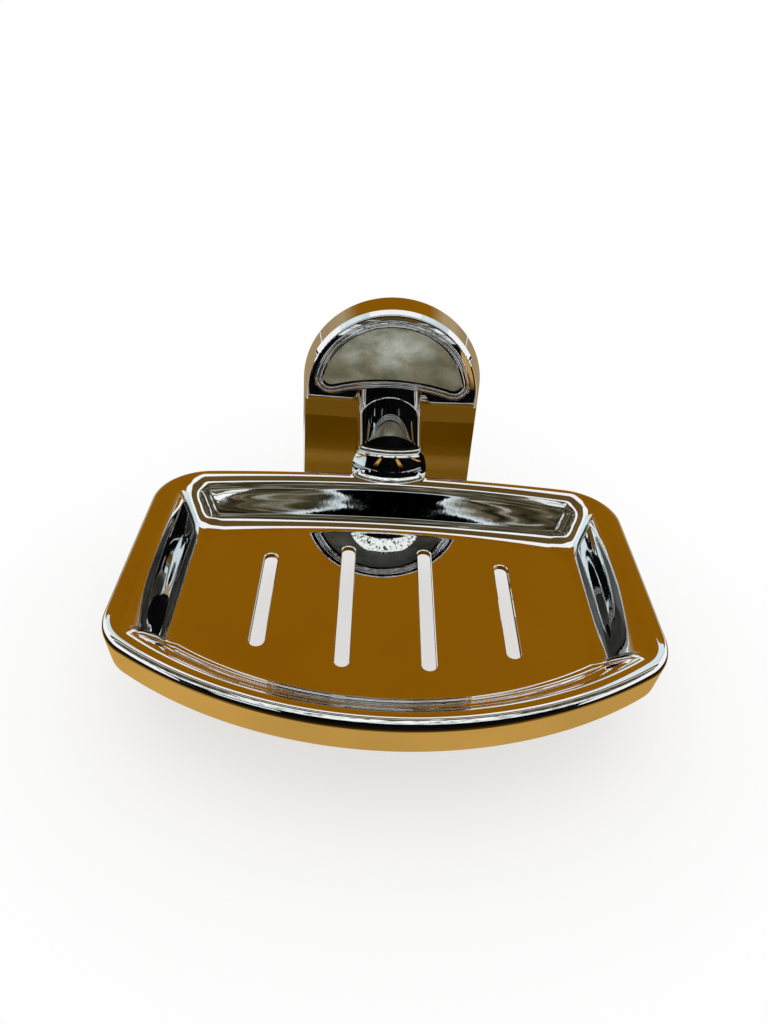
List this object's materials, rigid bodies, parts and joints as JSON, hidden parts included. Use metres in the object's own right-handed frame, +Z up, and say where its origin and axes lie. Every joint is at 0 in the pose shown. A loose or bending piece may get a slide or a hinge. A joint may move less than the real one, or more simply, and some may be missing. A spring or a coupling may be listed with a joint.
{
  "type": "wall soap dish",
  "caption": "Chrome soap tray with drain slots on a short round arm, carried by an arched wall bracket with a half-moon pearl inlay that hooks on a hidden plate.",
  "frame": {"origin": "on the wall's surface, at the centre of the two wall plugs, which is also the arm's axis", "axes": "+X to the right as seen from the room, +Y into the wall along the arm and the plugs, +Z up; the tray reaches out towards -Y"},
  "size_m": [0.1408, 0.1657, 0.0726],
  "materials": {
    "polished_chrome": "mirror-polished plating on cast metal",
    "zinc_plated_steel": "zinc plated, satin",
    "pearl_resin": "glossy, cloudy pearl grey",
    "plug_plastic": "matte grey nylon",
    "adhesive_pad": "matte white foam tape"
  },
  "bodies": {
    "wall_fixing": {"wall_plate": "zinc_plated_steel", "wall_screws": "zinc_plated_steel", "wall_plugs": "plug_plastic"},
    "dish": {"bracket_cover": "polished_chrome", "half_moon_bezel": "polished_chrome", "pearl_insert": "pearl_resin", "insert_adhesive_pad": "adhesive_pad", "arm": "polished_chrome", "tie_bolt": "zinc_plated_steel", "tie_bolt_washer": "zinc_plated_steel", "tie_bolt_spring_washer": "zinc_plated_steel", "locating_dowels": "zinc_plated_steel", "tray_knuckle": "polished_chrome", "soap_tray": "polished_chrome", "tray_screws": "zinc_plated_steel", "tray_screw_washers": "zinc_plated_steel"},
    "grub": {"grub_screw": "zinc_plated_steel"}
  },
  "joints": [
    {"name": "cover_lift", "type": "slide", "parent": "wall_fixing", "child": "dish", "axis": [0, 0, 1], "range_m": [0, 0.004]},
    {"name": "grub_travel", "type": "slide", "parent": "dish", "child": "grub", "axis": [0, 0, 1], "range_m": [-0.004, 0]}
  ],
  "couplings": [
    {"joint": "grub_travel", "follows": "cover_lift", "ratio": -1}
  ]
}
